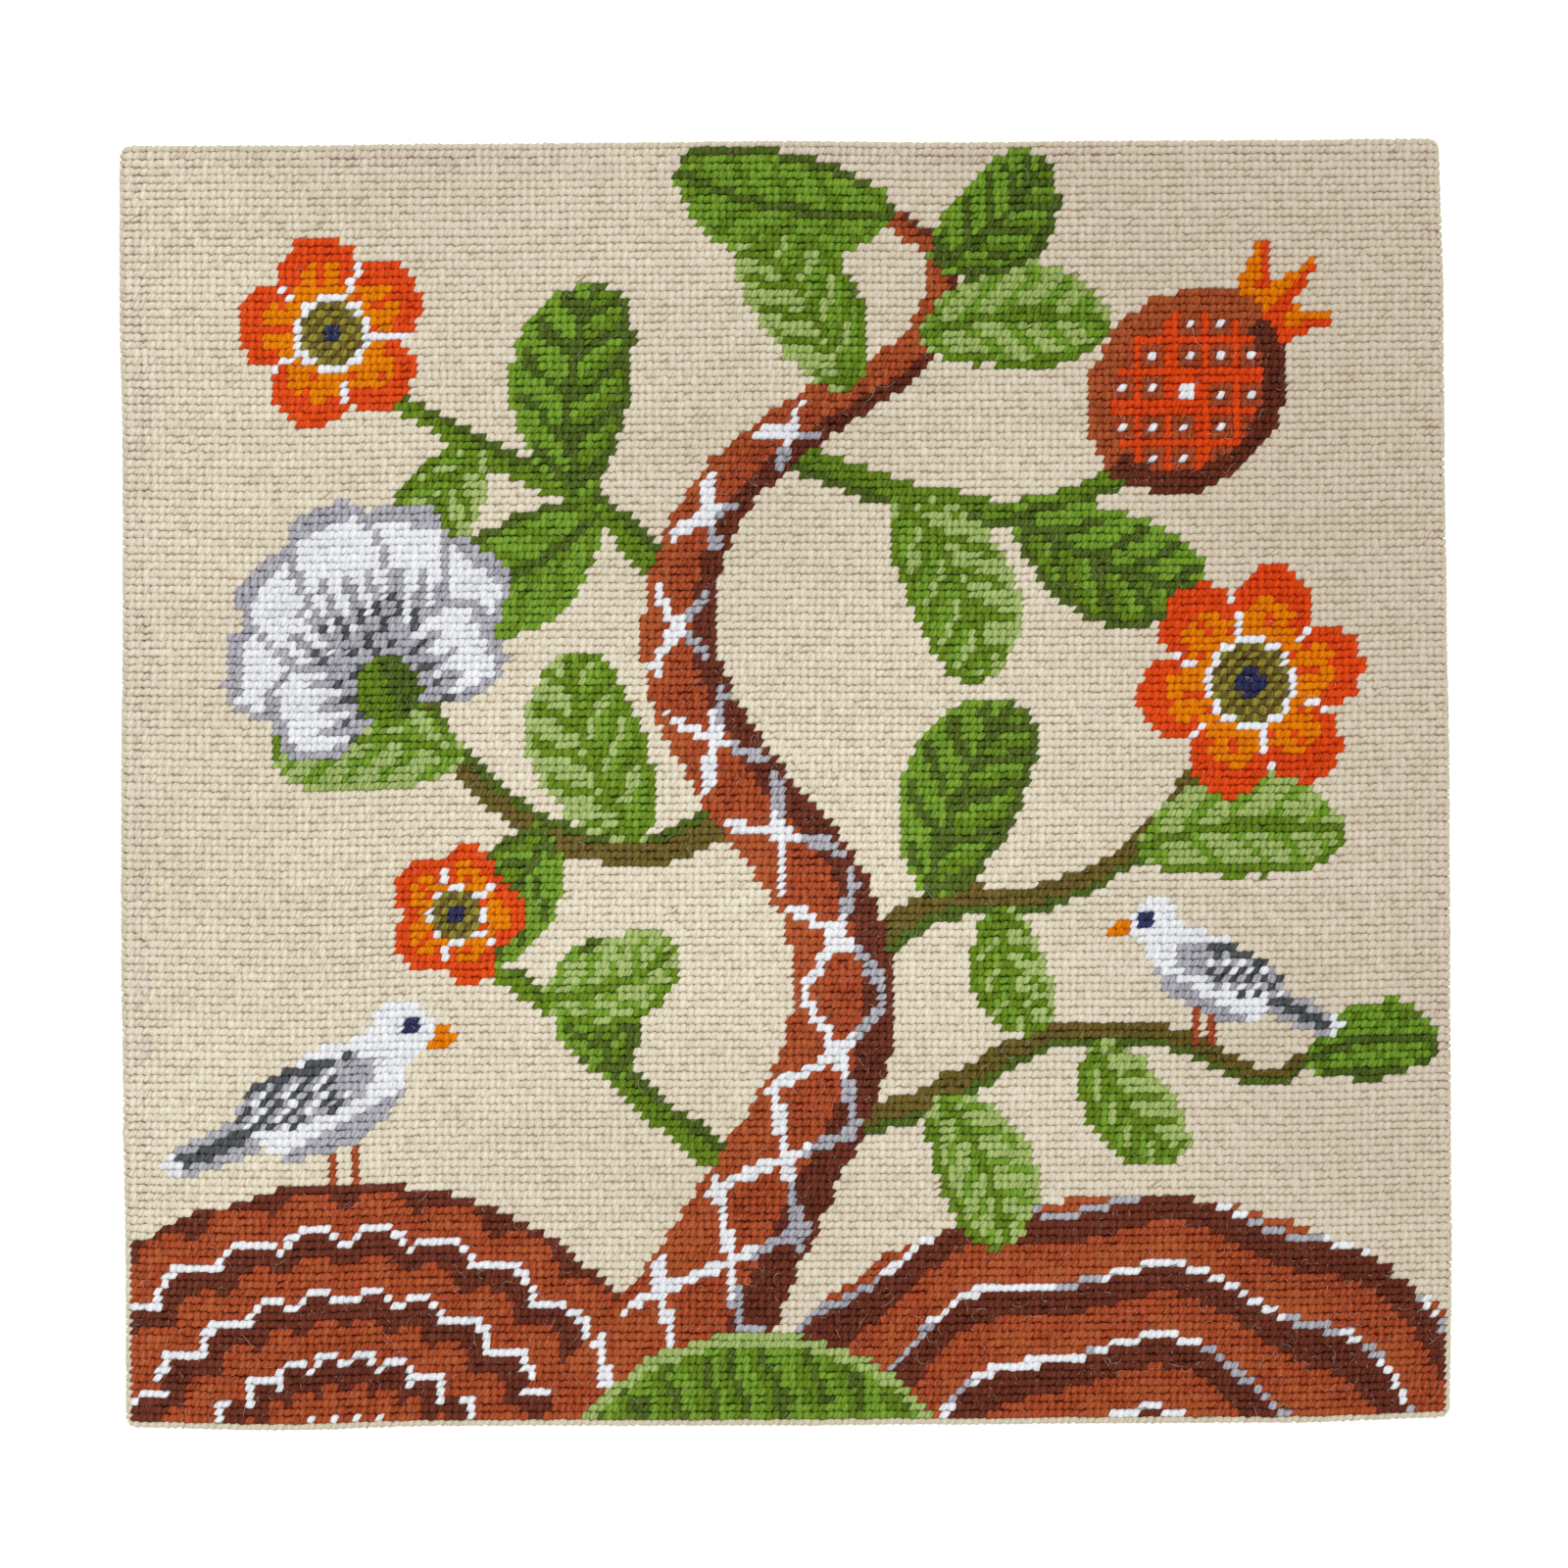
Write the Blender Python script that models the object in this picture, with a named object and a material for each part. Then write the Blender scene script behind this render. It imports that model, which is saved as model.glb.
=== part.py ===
"""A needlepoint panel: wool tent stitch over the whole of an even canvas, its margin turned under.

The panel lies flat and face up. +Z is up, +Y is the top of the worked face, and the origin is on the
surface below the panel's centre. Lengths are in metres.
"""

from bisect import bisect_right
from collections import namedtuple
from math import hypot, sqrt

import bmesh
import bpy

MM = 0.001

# The finished cloth, measured over the stitches that roll round its edge
WIDTH = 434.5 * MM
HEIGHT = 420.5 * MM
CORNER_RADIUS = 4.5 * MM

# Its layers: canvas with wool on both faces, and the bare margin turned under as a hem
CLOTH_THICKNESS = 3.0 * MM
HEM_THICKNESS = 1.3 * MM
HEM_WIDTH = 22.0 * MM

# The cloth comes down from the hem to the surface over this stretch, measured from the edge
SLOPE_START = 14.0 * MM
SLOPE_END = HEM_WIDTH + 24.0 * MM

# The fold at the edge: round above, with a tighter turn below, and a short upright part between
FOLD_REACH = 2.4 * MM
UNDER_REACH = 1.6 * MM
UPRIGHT_LOW = 1.8 * MM
UPRIGHT_HIGH = 2.4 * MM

# The mesh's lines follow the fold closely near the edge and lie this far apart elsewhere
EDGE_LINES = tuple(inset * MM for inset in (0.0, 0.3, 0.9, 1.6, 2.4, 5.0, 14.0, 22.0, 34.0, 46.0))
FIELD_SPACING = 21.0 * MM

# How far each side lies outside the plain rectangle, in mm, at shares of the side's length.
# Left and right run from the bottom up, bottom and top run from left to right.
SideRow = namedtuple("SideRow", "share left right bottom top")
SIDES = (
    SideRow(0.000, -1.1, 0.6, 1.3, -1.0),
    SideRow(0.125, -1.0, 1.2, 2.0, -0.9),
    SideRow(0.250, -0.2, 0.9, 0.3, -0.4),
    SideRow(0.375, 0.5, 0.7, 0.2, 0.1),
    SideRow(0.500, 0.5, 0.5, 0.1, 0.6),
    SideRow(0.625, 0.0, -0.4, -0.5, 0.1),
    SideRow(0.750, 0.0, -1.1, -1.1, 0.6),
    SideRow(0.875, 1.1, -1.5, -1.2, 0.9),
    SideRow(1.000, 1.1, -3.0, -2.6, 1.3),
)

# Places where the worked cloth swells or dips a little. Centres are shares of the width and height,
# reach and rise are in mm.
Swell = namedtuple("Swell", "across up reach rise")
SWELLS = (
    Swell(0.20, 0.74, 62, 0.35),
    Swell(0.47, 0.55, 80, -0.22),
    Swell(0.76, 0.80, 58, 0.28),
    Swell(0.83, 0.36, 70, 0.38),
    Swell(0.52, 0.17, 60, 0.26),
    Swell(0.19, 0.31, 66, -0.20),
)

WOOL_COLOUR = (0.73, 0.66, 0.50, 1.0)
WOOL_ROUGHNESS = 0.95


def empty_scene():
    """Remove whatever the file starts with."""
    for obj in list(bpy.data.objects):
        bpy.data.objects.remove(obj, do_unlink=True)


def eased(share):
    """A smooth step from 0 to 1."""
    share = min(max(share, 0.0), 1.0)
    return share * share * (3.0 - 2.0 * share)


def side_offset(side, share):
    """How far a side lies outside the plain rectangle at a share of its length."""
    shares = [row.share for row in SIDES]
    after = min(max(bisect_right(shares, share), 1), len(SIDES) - 1)
    low = SIDES[after - 1]
    high = SIDES[after]
    between = eased((share - low.share) / (high.share - low.share))
    start = getattr(low, side)
    return (start + between * (getattr(high, side) - start)) * MM


def line_places(length):
    """The places of the mesh's lines along a side, from 0 to its length."""
    last_inset = EDGE_LINES[-1]
    field = length - 2.0 * last_inset
    cells = round(field / FIELD_SPACING)
    middle = [last_inset + field * step / cells for step in range(1, cells)]
    return list(EDGE_LINES) + middle + [length - inset for inset in reversed(EDGE_LINES)]


def rounded(x, y):
    """A point of the sharp rectangle moved onto the one with round corners, and its distance in from the edge."""
    side_x = 1.0 if x > 0 else -1.0
    side_y = 1.0 if y > 0 else -1.0
    inset_x = WIDTH / 2.0 - abs(x)
    inset_y = HEIGHT / 2.0 - abs(y)
    if inset_x >= CORNER_RADIUS or inset_y >= CORNER_RADIUS:
        return x, y, min(inset_x, inset_y)
    across = 1.0 - inset_x / CORNER_RADIUS
    up = 1.0 - inset_y / CORNER_RADIUS
    round_across = across * sqrt(1.0 - up * up / 2.0)
    round_up = up * sqrt(1.0 - across * across / 2.0)
    centre_x = WIDTH / 2.0 - CORNER_RADIUS
    centre_y = HEIGHT / 2.0 - CORNER_RADIUS
    inset = CORNER_RADIUS * (1.0 - hypot(round_across, round_up))
    return (
        side_x * (centre_x + CORNER_RADIUS * round_across),
        side_y * (centre_y + CORNER_RADIUS * round_up),
        max(inset, 0.0),
    )


def uneven(x, y):
    """A point of the plain panel moved with the sides of the real one, which are a little out of true."""
    across = x / WIDTH + 0.5
    up = y / HEIGHT + 0.5
    left = -side_offset("left", up)
    right = side_offset("right", up)
    bottom = -side_offset("bottom", across)
    top = side_offset("top", across)
    return x + left + across * (right - left), y + bottom + up * (top - bottom)


def fold_curve(inset, reach):
    """The quarter turn at the edge: 0 on the edge, 1 from its reach inwards."""
    if inset >= reach:
        return 1.0
    return sqrt(1.0 - (1.0 - inset / reach) ** 2)


def face_height(x, y, inset):
    """Height of the worked face."""
    on_hem = 1.0 - eased((inset - SLOPE_START) / (SLOPE_END - SLOPE_START))
    full = CLOTH_THICKNESS + HEM_THICKNESS * on_hem
    for swell in SWELLS:
        away = hypot(x - (swell.across - 0.5) * WIDTH, y - (swell.up - 0.5) * HEIGHT)
        full += swell.rise * MM * eased(1.0 - away / (swell.reach * MM))
    return UPRIGHT_HIGH + (full - UPRIGHT_HIGH) * fold_curve(inset, FOLD_REACH)


def underside_height(inset):
    """Height of the underside, which is flat on the surface inside the fold."""
    return UPRIGHT_LOW * (1.0 - fold_curve(inset, UNDER_REACH))


def wool_material():
    """Cream wool, matt all over."""
    material = bpy.data.materials.new("cream_wool")
    material.use_nodes = True
    shader = material.node_tree.nodes["Principled BSDF"]
    shader.inputs["Base Color"].default_value = WOOL_COLOUR
    shader.inputs["Roughness"].default_value = WOOL_ROUGHNESS
    shader.inputs["Metallic"].default_value = 0.0
    return material


def panel_mesh():
    """Two layers of one grid, the worked face and the underside, joined by the upright part of the fold."""
    across_lines = line_places(WIDTH)
    up_lines = line_places(HEIGHT)
    across_cells = len(across_lines) - 1
    up_cells = len(up_lines) - 1

    grid = bmesh.new()
    bmesh.ops.create_grid(grid, x_segments=across_cells, y_segments=up_cells, size=0.5)
    insets = {}
    for vert in grid.verts:
        x = across_lines[round((vert.co.x + 0.5) * across_cells)] - WIDTH / 2.0
        y = up_lines[round((vert.co.y + 0.5) * up_cells)] - HEIGHT / 2.0
        x, y, inset = rounded(x, y)
        vert.co.xyz = (x, y, 0.0)
        insets[vert.co.xy.to_tuple()] = inset

    lower = set(grid.verts)
    bmesh.ops.extrude_face_region(grid, geom=grid.faces[:], use_keep_orig=True)
    for vert in grid.verts:
        x, y = vert.co.xy
        inset = insets[vert.co.xy.to_tuple()]
        z = underside_height(inset) if vert in lower else face_height(x, y, inset)
        vert.co.xyz = (*uneven(x, y), z)
    bmesh.ops.recalc_face_normals(grid, faces=grid.faces[:])
    centre_over_origin(grid)

    mesh = bpy.data.meshes.new("stitched_panel")
    grid.to_mesh(mesh)
    grid.free()
    mesh.shade_smooth()
    return mesh


def centre_over_origin(grid):
    """Move the panel so that its bounding box is centred on the Z axis."""
    for axis in (0, 1):
        places = [vert.co[axis] for vert in grid.verts]
        middle = (min(places) + max(places)) / 2.0
        for vert in grid.verts:
            vert.co[axis] -= middle


def stitched_panel(collection):
    """The worked cloth with its hem, one solid."""
    panel = bpy.data.objects.new("stitched_panel", panel_mesh())
    panel.data.materials.append(wool_material())
    collection.objects.link(panel)
    return panel


def main():
    empty_scene()
    collection = bpy.data.collections.new("needlepoint_panel")
    bpy.context.scene.collection.children.link(collection)
    stitched_panel(collection)


main()
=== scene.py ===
# Needlepoint panel: wool tent stitch over a cotton canvas, its margin turned under as a hem.
# Sizes are in millimetres unless a note says otherwise; meshes are made in metres.
from math import pi, radians

import bpy
import numpy as np
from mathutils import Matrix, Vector


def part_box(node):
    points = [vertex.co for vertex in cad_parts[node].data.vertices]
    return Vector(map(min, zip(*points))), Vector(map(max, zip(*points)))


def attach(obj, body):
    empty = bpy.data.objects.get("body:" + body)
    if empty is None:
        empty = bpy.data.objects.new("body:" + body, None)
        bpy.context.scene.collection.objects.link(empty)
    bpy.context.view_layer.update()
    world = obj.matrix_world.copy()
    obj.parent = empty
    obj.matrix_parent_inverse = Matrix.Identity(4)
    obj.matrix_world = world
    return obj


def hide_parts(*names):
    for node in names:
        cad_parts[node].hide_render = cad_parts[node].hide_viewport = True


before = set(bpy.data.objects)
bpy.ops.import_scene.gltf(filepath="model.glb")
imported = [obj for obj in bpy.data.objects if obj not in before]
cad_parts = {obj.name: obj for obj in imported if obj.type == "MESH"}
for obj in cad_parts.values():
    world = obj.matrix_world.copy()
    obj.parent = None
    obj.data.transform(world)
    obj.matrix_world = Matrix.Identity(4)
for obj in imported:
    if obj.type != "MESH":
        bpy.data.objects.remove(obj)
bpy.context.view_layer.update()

mm = 0.001
noiseCells = 63  # before the noise repeats
panelNode = "stitched_panel"


# Shared helpers

def hexToLinear(colour):
    # an sRGB hex colour as linear RGBA
    channels = [int(colour[at:at + 2], 16) / 255.0 for at in (1, 3, 5)]
    linear = [c / 12.92 if c <= 0.04045 else ((c + 0.055) / 1.055) ** 2.4 for c in channels]
    return (*linear, 1.0)


def addNode(tree, kind, inputs=None, **settings):
    # a node with its settings; an input is linked where a socket is given
    made = tree.nodes.new("ShaderNode" + kind)
    for name, value in settings.items():
        setattr(made, name, value)
    for name, value in (inputs or {}).items():
        if isinstance(value, bpy.types.NodeSocket):
            tree.links.new(value, made.inputs[name])
        else:
            made.inputs[name].default_value = value
    return made


def startMaterial(name, sockets):
    # a Principled material with its constant values set on the shader's own sockets
    material = bpy.data.materials.new(name)
    material.use_nodes = True
    shader = material.node_tree.nodes["Principled BSDF"]
    for socket, value in sockets.items():
        shader.inputs[socket].default_value = value
    return material, material.node_tree, shader


def patchNoise(x, y, size, seed):
    # smooth noise from -1 to 1, in patches of about this size
    table = np.random.default_rng(seed).uniform(-1.0, 1.0, (noiseCells + 1, noiseCells + 1))
    across, up = (np.asarray(x) / size) % noiseCells, (np.asarray(y) / size) % noiseCells
    column, row = across.astype(int), up.astype(int)
    fx, fy = eased(across - column), eased(up - row)
    low = table[row, column] * (1.0 - fx) + table[row, column + 1] * fx
    high = table[row + 1, column] * (1.0 - fx) + table[row + 1, column + 1] * fx
    return low * (1.0 - fy) + high * fy


def eased(share):
    # a smooth step from 0 to 1
    share = np.clip(share, 0.0, 1.0)
    return share * share * (3.0 - 2.0 * share)


def stripQuads(count, stations, arcs, closed=False):
    # faces of strips whose points are shaped (strip, station, arc)
    start = np.arange(count)[:, None, None] * stations * arcs + np.arange(stations - 1)[:, None] * arcs
    arc = np.arange(arcs if closed else arcs - 1)
    after = (arc + 1) % arcs
    corners = [start + arc, start + after, start + arcs + after, start + arcs + arc]
    return np.stack(corners, axis=-1).reshape(-1, 4)


def atlasCells(places, margin):
    # places from 0 to 1, shaped (strip, point, 2), with a cell of the piece's atlas for each strip
    side = int(np.ceil(np.sqrt(len(places))))
    number = np.arange(len(places))[:, None]
    corner = np.stack([number % side, number // side], axis=-1)
    return ((corner + margin + places * (1 - 2 * margin)) / side).reshape(-1, 2)


def gridPlaces(down, across):
    # the places of a grid, row by row
    return np.stack(np.meshgrid(down, across, indexing="ij"), axis=-1).reshape(-1, 2)


def placeObject(name, data):
    made = bpy.data.objects.new(name, data)
    bpy.context.scene.collection.objects.link(made)
    return made


def makePiece(name, points, faces, materials, maps, attributes, faceSlots=None):
    # a smooth mesh object from arrays: points in mm, faces of one size, values for each point
    points, faces = np.asarray(points, np.float32), np.asarray(faces, np.int32)
    mesh = bpy.data.meshes.new(name)
    mesh.vertices.add(len(points))
    mesh.vertices.foreach_set("co", (points * mm).ravel())
    mesh.loops.add(faces.size)
    mesh.loops.foreach_set("vertex_index", faces.ravel())
    mesh.polygons.add(len(faces))
    mesh.polygons.foreach_set("loop_start", np.arange(0, faces.size, faces.shape[1], dtype=np.int32))
    if faceSlots is not None:
        mesh.polygons.foreach_set("material_index", np.asarray(faceSlots, np.int32))
    for layer, places in maps.items():
        uv = mesh.uv_layers.new(name=layer)
        uv.data.foreach_set("uv", np.asarray(places, np.float32)[faces.ravel()].ravel())
    for layer, values in attributes.items():
        values = np.asarray(values, np.float32)
        kind, field = ("FLOAT", "value") if values.ndim == 1 else ("FLOAT_COLOR", "color")
        mesh.attributes.new(layer, kind, "POINT").data.foreach_set(field, values.ravel())
    for material in materials:
        mesh.materials.append(material)
    mesh.update(calc_edges=True)
    mesh.shade_smooth()
    piece = placeObject(name, mesh)
    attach(piece, "root")
    return piece


# The cloth's shape, as in the solid: outline, folded edge, hem step and slight swells

clothSizes = {
    "width": 434.5,  # over the stitches that roll round the edge
    "height": 420.5,
    "cornerRadius": 4.5,
    "clothThickness": 3.0,
    "hemThickness": 1.3,
    "hemWidth": 22.0,
    "slopeStart": 14.0,
    "slopeEnd": 46.0,
    "crestHeight": 1.25,  # of the wool above the middle of the canvas
    "foldRadius": 1.3,  # of the canvas at the edge
    "underLevel": 1.25,  # of the canvas above the surface where wool still covers it below
    "hemLevel": 0.25,  # and where the hem is bare
    "hemDrop": 3.0,  # how far in from the stitches it comes down to that
    "layerGap": 0.18,  # between the layers folded over each other at a corner
    "layerStart": 28.6,  # how far from the corner they begin
    "underWrap": 1.17,  # how far the stitches go on below the edge
}

sideRows = (
    # share of the side, and how far left, right, bottom and top lie outside the plain rectangle
    (0.000, -0.5, 0.6, 1.3, -1.0),
    (0.125, -0.4, 1.2, 2.1, -0.9),
    (0.250, 0.4, 0.9, 0.6, -0.4),
    (0.375, 1.1, 0.7, 0.6, 0.1),
    (0.500, 1.1, 0.5, 0.6, 0.6),
    (0.625, 0.6, -0.4, 0.2, 0.1),
    (0.750, 0.6, -1.1, -0.1, 0.6),
    (0.875, 1.6, -1.5, -0.4, 0.9),
    (1.000, 1.6, -3.0, -2.0, 1.3),
)

swellRows = (
    # centre across and up as shares, reach, rise
    (0.20, 0.74, 62, 0.35),
    (0.47, 0.55, 80, -0.22),
    (0.76, 0.80, 58, 0.28),
    (0.83, 0.36, 70, 0.38),
    (0.52, 0.17, 60, 0.26),
    (0.19, 0.31, 66, -0.20),
)

boxLow, boxHigh = (np.array(corner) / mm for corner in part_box(panelNode))
halfSize = np.array([clothSizes["width"], clothSizes["height"]]) / 2
turnStartX, turnStartY = halfSize - clothSizes["foldRadius"] - clothSizes["crestHeight"]
halfTurn = pi * clothSizes["foldRadius"]
# the stitched cloth's own size, laid out flat from the underside of one fold to the other's
stitchedTurn = halfTurn + clothSizes["underWrap"]
clothWidth = 2 * (turnStartX + stitchedTurn)
clothHeight = 2 * (turnStartY + stitchedTurn)


def sideOffset(column, share):
    rows = np.array(sideRows)
    after = np.clip(np.searchsorted(rows[:, 0], share, side="right"), 1, len(rows) - 1)
    low, high = rows[after - 1], rows[after]
    between = eased((share - low[..., 0]) / (high[..., 0] - low[..., 0]))
    return low[..., column] + between * (high[..., column] - low[..., column])


def outOfTrue(x, y):
    # the plain rectangle moved with the real sides, and centred as the solid is
    across, up = x / clothSizes["width"] + 0.5, y / clothSizes["height"] + 0.5
    left, right = -sideOffset(1, up), sideOffset(2, up)
    bottom, top = -sideOffset(3, across), sideOffset(4, across)
    movedX = x + left + across * (right - left)
    movedY = y + bottom + up * (top - bottom)
    return movedX - outlineShift[0], movedY - outlineShift[1]


def findShift():
    # how far the uneven outline's box lies off the plain rectangle's centre
    share = np.linspace(0.02, 0.98, 400)
    left, right, bottom, top = (sideOffset(column, share).max() for column in (1, 2, 3, 4))
    return np.array([right - left, top - bottom]) / 2 - (boxLow[:2] + boxHigh[:2]) / 2


outlineShift = findShift()


def roundCorners(x, y):
    # a sharp ring of the canvas moved onto one with round corners, and how far it lies in from the edge
    radius = clothSizes["cornerRadius"] - clothSizes["crestHeight"]
    centre = halfSize - clothSizes["cornerRadius"]
    across = np.clip((np.abs(x) - centre[0]) / radius, 0.0, 1.0)
    up = np.clip((np.abs(y) - centre[1]) / radius, 0.0, 1.0)
    inCorner = (across > 0) & (up > 0)
    roundAcross, roundUp = across * np.sqrt(1 - up**2 / 2), up * np.sqrt(1 - across**2 / 2)
    plain = np.minimum(halfSize[0] - np.abs(x), halfSize[1] - np.abs(y))
    inset = np.where(inCorner, clothSizes["cornerRadius"] - radius * np.hypot(roundAcross, roundUp), plain)
    roundX = np.sign(x) * (centre[0] + radius * roundAcross)
    roundY = np.sign(y) * (centre[1] + radius * roundUp)
    return np.where(inCorner, roundX, x), np.where(inCorner, roundY, y), inset


def clothPlace(s, t):
    # where a point of the canvas lies: s and t run across and up the cloth, over the edges and under
    overX, overY = np.abs(s) - turnStartX, np.abs(t) - turnStartY
    over = np.maximum(np.maximum(overX, overY), 0.0)
    turn = np.minimum(over / clothSizes["foldRadius"], pi)
    reach = clothSizes["foldRadius"] * np.sin(turn) - np.maximum(over - halfTurn, 0.0)
    shareX = np.clip(overX / np.maximum(over, 1e-6), 0.0, 1.0)
    shareY = np.clip(overY / np.maximum(over, 1e-6), 0.0, 1.0)
    x = np.sign(s) * (np.minimum(np.abs(s), turnStartX) + reach * shareX)
    y = np.sign(t) * (np.minimum(np.abs(t), turnStartY) + reach * shareY)
    x, y, inset = roundCorners(x, y)
    offHem = eased((inset - clothSizes["slopeStart"]) / (clothSizes["slopeEnd"] - clothSizes["slopeStart"]))
    full = clothSizes["clothThickness"] + clothSizes["hemThickness"] * (1.0 - offHem)
    for across, up, swellReach, rise in swellRows:
        away = np.hypot(x - (across - 0.5) * clothSizes["width"], y - (up - 0.5) * clothSizes["height"])
        full = full + rise * eased(1.0 - away / swellReach)
    upper = full - clothSizes["crestHeight"]
    drop = eased((over - stitchedTurn) / clothSizes["hemDrop"])
    # at a corner the side hem lies lowest, the corner's own cloth over it, the upper or lower hem on top
    atEnd = eased((overX + clothSizes["layerStart"]) / clothSizes["hemDrop"])
    layer = atEnd * (eased(overY / clothSizes["hemDrop"]) + eased((overY - overX) / clothSizes["hemWidth"]))
    hemLevel = clothSizes["hemLevel"] + np.where(overY > 0, layer, 0.0) * clothSizes["layerGap"]
    lower = clothSizes["underLevel"] + drop * (hemLevel - clothSizes["underLevel"])
    z = (upper + lower) / 2 + (upper - lower) / 2 * np.cos(turn)
    x, y = outOfTrue(x, y)
    return np.stack([x, y, z], axis=-1)


def clothFrame(s, t, step=0.15):
    # the place, and the way out of the cloth there
    along = clothPlace(s + step, t) - clothPlace(s - step, t)
    upward = clothPlace(s, t + step) - clothPlace(s, t - step)
    out = np.cross(along, upward)
    out /= np.maximum(np.linalg.norm(out, axis=-1, keepdims=True), 1e-9)
    return clothPlace(s, t), out


print("cloth shape ready:", round(clothWidth, 1), "x", round(clothHeight, 1), "mm of stitched cloth")


# Yarns: tapestry wool, dyed. Each has the colour of its crown, a darker colour for the painted shade in its
# hollows, and the colour of another dye lot

yarns = {
    "cream": ("#F4ECD8", "#BFAF91", "#DACEBD"),
    "edgeCream": ("#EAE1CB", "#B9AB8F", "#DCD1BB"),
    "stainedCream": ("#F0E6D4", "#AA9484", "#DED0BE"),
    "white": ("#FCFDFF", "#BEC2C8", "#F2F4F8"),
    "lilacGrey": ("#C6C4CC", "#5E5C66", "#B4B2BA"),
    "charcoal": ("#626668", "#0A0C0E", "#54585A"),
    "rust": ("#C05C36", "#4C0600", "#AC502E"),
    "copper": ("#C2663C", "#6A1C04", "#B05A32"),
    "brown": ("#7C4030", "#260300", "#6E3626"),
    "olive": ("#7E6E36", "#2C2004", "#6C5A26"),
    "moss": ("#A49C3E", "#48400C", "#908634"),
    "lightGreen": ("#B8CC80", "#547018", "#A8BC6C"),
    "brightGreen": ("#88AE3C", "#244E02", "#7CA232"),
    "midGreen": ("#78982A", "#183202", "#688624"),
    "darkGreen": ("#62782E", "#121E02", "#546A26"),
    "orange": ("#F4920E", "#AA4600", "#E88208"),
    "redOrange": ("#F25A22", "#9A1E00", "#E44C18"),
    "navy": ("#3E426A", "#080A1C", "#32365A"),
}
yarnNumber = {name: number for number, name in enumerate(yarns)}


# The chart: a plain tree with leaves, flowers and birds, worked out stitch by stitch from its motifs

chartSizes = {
    "columns": 176,
    "rows": 165,
    "edgeRows": 2,
    "wobble": 2.4,  # patch size of a hand-drawn line's wobble, in stitches
    "seed": 41,
}
columnCount, rowCount = chartSizes["columns"], chartSizes["rows"]

printedLine = {
    # a plain border line on the canvas
    "places": (4, columnCount - 3, rowCount - 3),  # left, right and top, in stitches
    "stain": 0.32,  # share of the stitches over it that it greys
    "stainFade": 0.35,  # less to the right and below
    "ink": 0.75,  # on the canvas itself
    "inkFade": 0.40,
}

stitchPatches = {
    # how far patches of stitches differ, their size in stitches, a seed, and how far apart the
    # noise takes two rows to lie: more than 1 gives each row its own
    "stain": (0.70, 23.0, 21, 1.0),
    "ink": (0.45, 9.0, 21, 1.0),
    "rowTone": (0.07, 26.0, 3, 17.3),
    "tone": (0.05, 31.0, 4, 1.0),
    "dyeLot": (0.25, 38.0, 5, 1.0),
    "dyeSpeck": (0.10, 3.0, 6, 1.0),
    "tension": (0.05, 22.0, 8, 13.7),
    "placeX": (0.10, 9.0, 9, 1.0),
    "placeY": (0.16, 14.0, 10, 1.0),
}

stitchX, stitchY = np.meshgrid(np.arange(columnCount) + 0.5, np.arange(rowCount) + 0.5)
chart = np.full(stitchX.shape, yarnNumber["cream"])
handWobble = patchNoise(stitchX, stitchY, chartSizes["wobble"], chartSizes["seed"])


def stitchPatch(name, column, row):
    amount, size, seed, rowStep = stitchPatches[name]
    return amount * patchNoise(column, row * rowStep, size, seed)


# In the motifs, a number beside a width, height or radius is a share of it; others are stitches

def work(mask, yarn):
    chart[mask] = yarnNumber[yarn]


def onEdge(column, row):
    # whether a stitch is in the rows that roll over the edge
    fromSide = np.minimum(column, columnCount - 1 - column)
    return np.minimum(fromSide, np.minimum(row, rowCount - 1 - row)) < chartSizes["edgeRows"]


def netGap(u, v, period):
    # distance to the nearer line of a diamond net
    half = period / 2
    return np.minimum(np.abs((u + v) % period - half), np.abs((u - v) % period - half))


def turned(x0, y0, angle):
    # chart places seen from a motif's root, along and across its axis
    a = radians(angle)
    dx, dy = stitchX - x0, stitchY - y0
    return dx * np.cos(a) + dy * np.sin(a), dy * np.cos(a) - dx * np.sin(a)


def smoothLine(points, steps=14):
    # a smooth curve through rows of x, y and width
    rows = np.array(points, float)
    rows = np.vstack([2 * rows[0] - rows[1], rows, 2 * rows[-1] - rows[-2]])
    t = np.linspace(0.0, 1.0, steps, endpoint=False)[:, None]
    parts = []
    for a, b, c, d in zip(rows[:-3], rows[1:-2], rows[2:-1], rows[3:]):
        bend = 2 * a - 5 * b + 4 * c - d
        parts.append(0.5 * (2 * b + (c - a) * t + bend * t**2 + (3 * b - a - 3 * c + d) * t**3))
    return np.vstack([*parts, rows[-2:-1]])


def alongLine(points):
    # for each stitch: distance to the line, side, place along it and the line's width there
    line = smoothLine(points)
    best = np.full(stitchX.shape, 1e9)
    side, place, width = np.zeros_like(best), np.zeros_like(best), np.zeros_like(best)
    run = 0.0
    for a, b in zip(line[:-1], line[1:]):
        step = b[:2] - a[:2]
        length = max(float(np.hypot(*step)), 1e-6)
        dx, dy = stitchX - a[0], stitchY - a[1]
        share = np.clip((dx * step[0] + dy * step[1]) / length**2, 0.0, 1.0)
        away = np.hypot(dx - share * step[0], dy - share * step[1])
        near = away < best
        best = np.where(near, away, best)
        side = np.where(near, (dy * step[0] - dx * step[1]) / length, side)
        place = np.where(near, run + share * length, place)
        width = np.where(near, a[2] + share * (b[2] - a[2]), width)
        run += length
    return best, side, place, width


def workStem(points, body, shade, light=None):
    away, side, place, width = alongLine(points)
    inside = away < width / 2 + 0.25 * handWobble
    work(inside, body)
    work(inside & (side < -0.18 * width), shade)
    if light:
        work(inside & (side > 0.2 * width) & (patchNoise(place, side, 3.0, 7) > -0.3), light)
    return inside, side, place, width


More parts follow.
